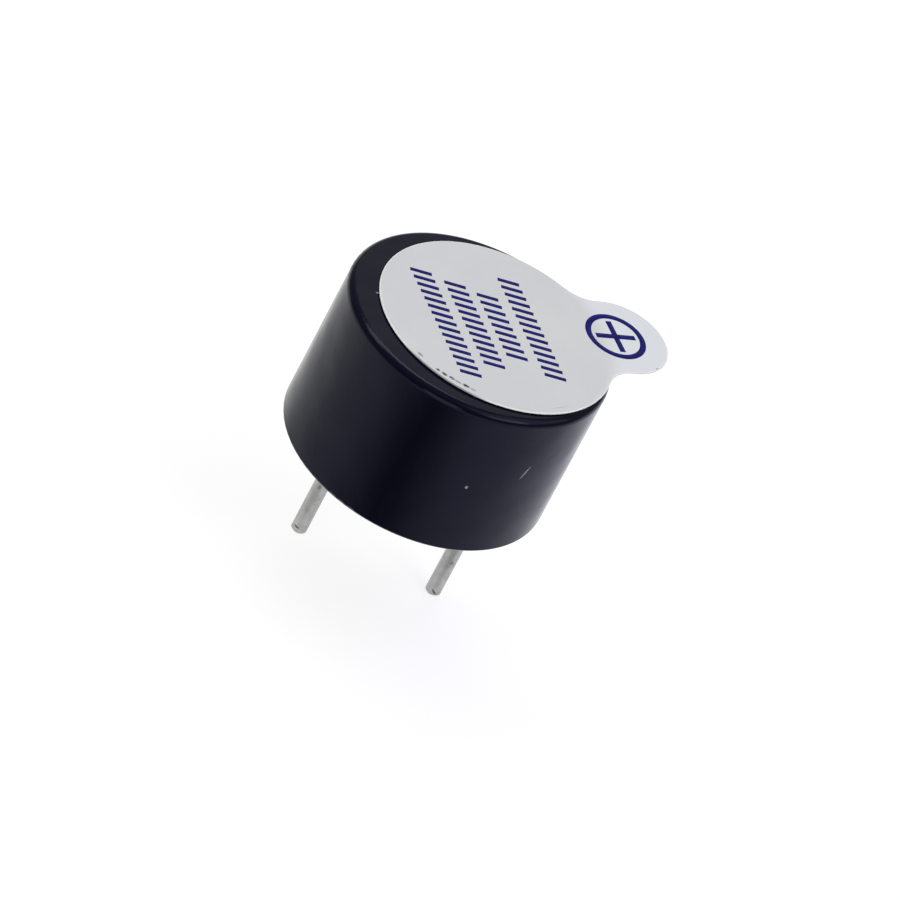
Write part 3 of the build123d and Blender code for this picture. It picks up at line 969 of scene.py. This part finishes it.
# %% [markdown]
# ## Lamps
#
# A glossy black thing shows the room more than itself. A long softbox behind and to the left lights the
# seal and draws a thin bright line along the rim. A dim panel and a low strip behind give the top its grey,
# a panel and a wide wall on the right light that side, and a low strip in front draws the short line along
# the near rim. Two fill lamps light the pins and the table without being mirrored. Lamps could be dragged
# into place, but a table of angles and sizes is easier to compare and to change.
#
# Two black cards before the can, seen by nothing but reflections and turned a little to the left, give the
# middle of the wall and the band under the rim something dark to mirror. The room itself adds a dim, even
# light.

# %% Softboxes
# Each lamp: turn from the camera and rise in degrees, distance, width and height in mm, brightness of its
# face, and whether it is mirrored.
SOFTBOXES = {
    "rim_light": (-140, 60, 260, 260, 75, 3.0, True),
    "back_panel": (180, 33, 300, 320, 90, 0.37, True),
    "back_strip": (180, 7, 300, 480, 40, 0.9, True),
    "right_panel": (57, 41, 300, 150, 110, 2.8, True),
    "right_wall": (85, 52, 320, 300, 260, 0.9, True),
    "front_strip": (0, 10, 190, 110, 85, 1.9, True),
    "top_fill": (0, 75, 260, 190, 190, 0.85, False),
    "left_fill": (-90, 35, 300, 200, 200, 1.5, False),
}

for name, (turn_deg, rise_deg, away_mm, width_mm, height_mm, brightness, mirrored) in SOFTBOXES.items():
    out = heading(VIEW_TURN + math.radians(turn_deg), math.radians(rise_deg))
    data = bpy.data.lights.new(name, "AREA")
    data.shape = "RECTANGLE"
    data.size = width_mm * MM
    data.size_y = height_mm * MM
    data.energy = brightness * math.pi * data.size * data.size_y
    lamp = bpy.data.objects.new(name, data)
    lamp.location = out * away_mm * MM
    lamp.rotation_mode = "QUATERNION"
    lamp.rotation_quaternion = out.to_track_quat("Z", "Y")
    lamp.visible_camera = False
    lamp.visible_glossy = mirrored
    bpy.context.scene.collection.objects.link(lamp)
    print(name, round(data.energy, 3), "W")

# %% Black velvet: no shine at all, thinning out to nothing at a card's sides
CARD_TURN = VIEW_TURN - math.radians(3)


def faded_velvet(fan):
    """Velvet that is darkest in the middle of a fan, which is given by half its angle in radians."""
    velvet, tree, shader, place = start_finish("black velvet", {
        "Base Color": colour("#050507"), "Roughness": 1, "Specular IOR Level": 0,
    })
    facing = add(tree, "ShaderNodeMapping", {
        "Vector": place, "Rotation": (0, 0, CARD_TURN - math.pi / 2),
    }, vector_type="TEXTURE")
    facing = add(tree, "ShaderNodeSeparateXYZ", {"Vector": facing}).outputs
    swing = add(tree, "ShaderNodeMath", {0: facing["Y"], 1: facing["X"]}, operation="ARCTAN2")
    swing = add(tree, "ShaderNodeMath", {0: swing}, operation="ABSOLUTE")
    thin = add(tree, "ShaderNodeMapRange", {
        "Value": swing, "From Min": 0, "From Max": fan, "To Min": 0.1,
    }, interpolation_type="SMOOTHSTEP")
    clear = add(tree, "ShaderNodeBsdfTransparent")
    faded = add(tree, "ShaderNodeMixShader", {"Fac": thin, 1: shader, 2: clear})
    feed(tree, tree.nodes["Material Output"], {"Surface": faded})
    return velvet


print("cards face", round(math.degrees(CARD_TURN), 1), "degrees")

# %% Black cards, one lying and one standing
CARD_STEPS = 12
CARD_LOW = cad_low[2] + 0.2 * MM
# Each card: reach and height of one edge, the same of the other edge, and half its angle.
CARDS = {
    "lying_card": ((15.5 * MM, CARD_LOW), (34 * MM, CARD_LOW), math.radians(46)),
    "standing_card": ((200 * MM, CARD_LOW), (200 * MM, 240 * MM), math.radians(75)),
}

for name, (one, other, fan) in CARDS.items():
    corners = []
    for step in range(-CARD_STEPS, CARD_STEPS + 1):
        out = heading(CARD_TURN + fan * step / CARD_STEPS, 0)
        corners += [(out.x * reach, out.y * reach, height) for reach, height in (one, other)]
    strips = [(i, i + 1, i + 3, i + 2) for i in range(0, len(corners) - 2, 2)]
    mesh = bpy.data.meshes.new(name)
    mesh.from_pydata(corners, [], strips)
    mesh.materials.append(faded_velvet(fan))
    card = bpy.data.objects.new(name, mesh)
    bpy.context.scene.collection.objects.link(card)
    card.visible_camera = False
    card.visible_diffuse = False
    card.visible_shadow = False
    card.visible_transmission = False
    print(name, "with", len(strips), "strips")

# %% Room
ROOM_LIGHT = 0.25

world = bpy.data.worlds.new("dim studio")
world.use_nodes = True
bpy.context.scene.world = world
backdrop = world.node_tree.nodes["Background"]
feed(world.node_tree, backdrop, {"Color": colour("#FFFFFF"), "Strength": ROOM_LIGHT})
bpy.context.scene.view_settings.view_transform = "Standard"
print("room light", ROOM_LIGHT)
